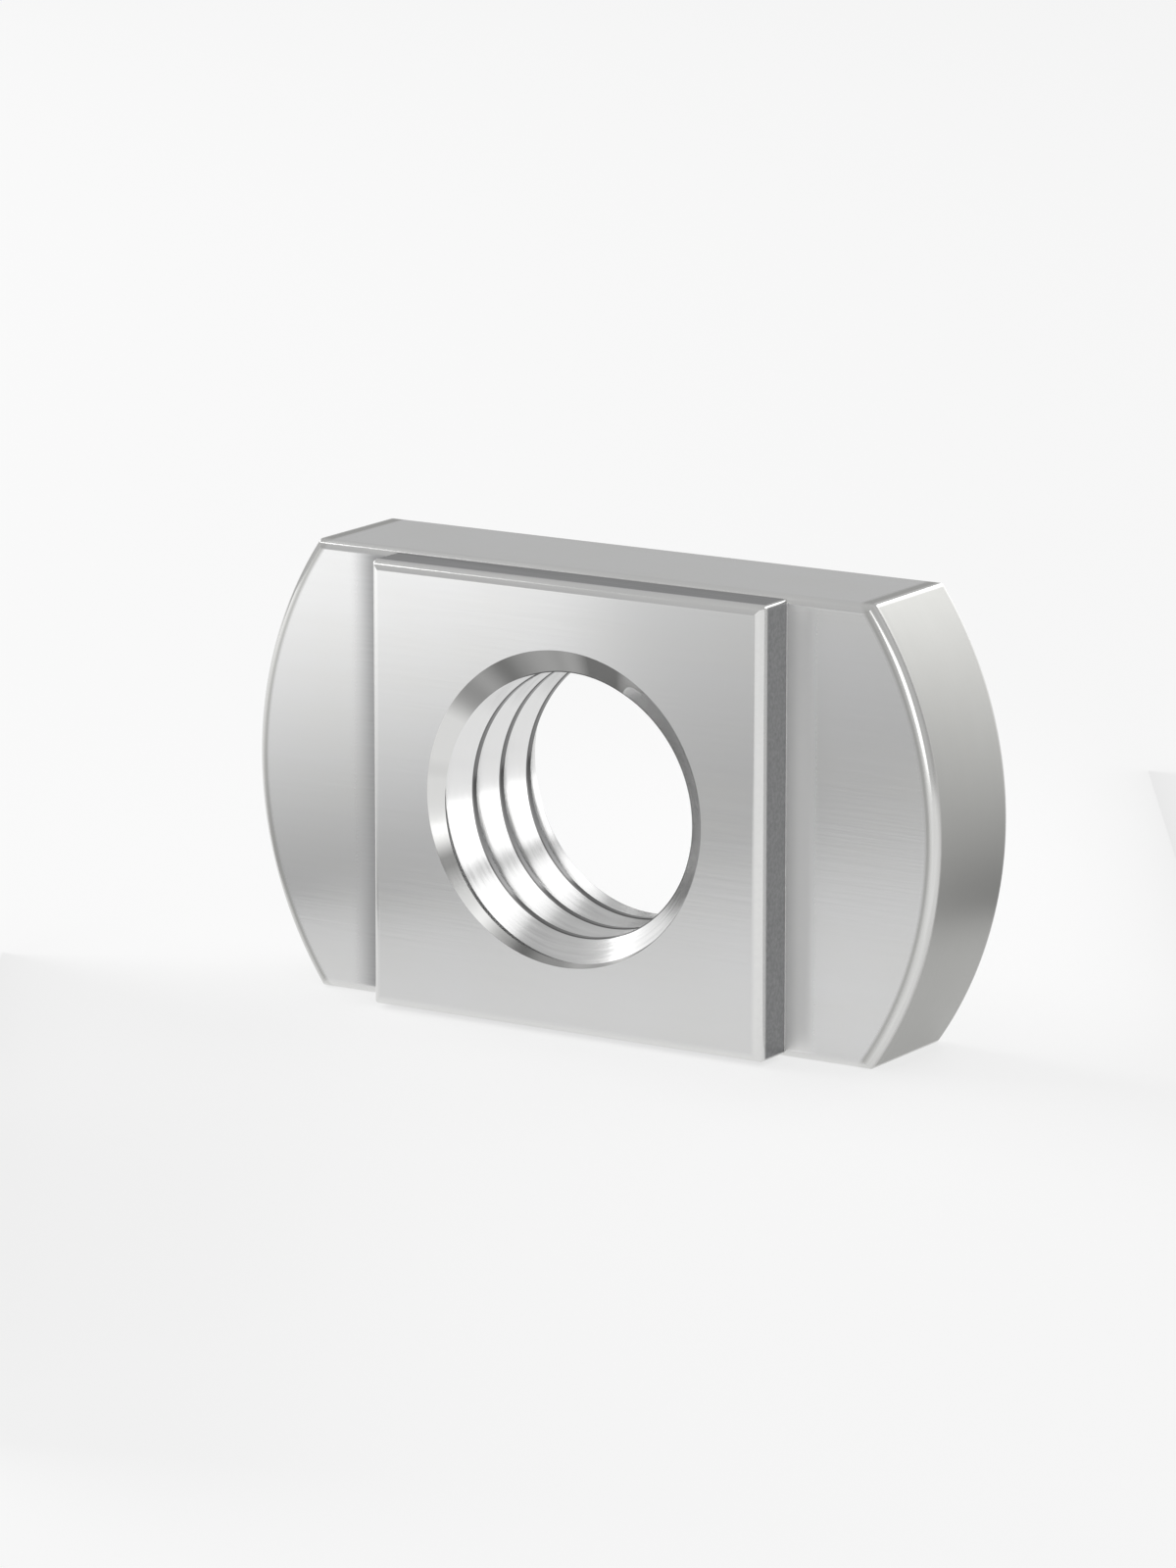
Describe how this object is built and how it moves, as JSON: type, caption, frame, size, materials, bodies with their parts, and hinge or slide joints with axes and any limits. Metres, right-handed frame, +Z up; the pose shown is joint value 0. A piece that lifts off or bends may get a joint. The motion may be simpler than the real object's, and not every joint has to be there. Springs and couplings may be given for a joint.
{
  "type": "channel nut",
  "caption": "Steel channel nut: a thick plate with two flats and round ends, and a square boss round a threaded through hole.",
  "frame": {"origin": "on the thread's axis, in the plane of the two wing faces that bear on the channel's lips", "axes": "+X along the nut's length, +Y through its thickness from the boss to the plain back, +Z up, square to the flat that it stands on"},
  "size_m": [0.0198, 0.0048, 0.0116],
  "materials": {
    "steel": "satin polished stainless steel, with fine straight grain on the faces and turned marks in the countersinks"
  },
  "bodies": {
    "root": {"channel_nut": "steel"}
  },
  "joints": []
}
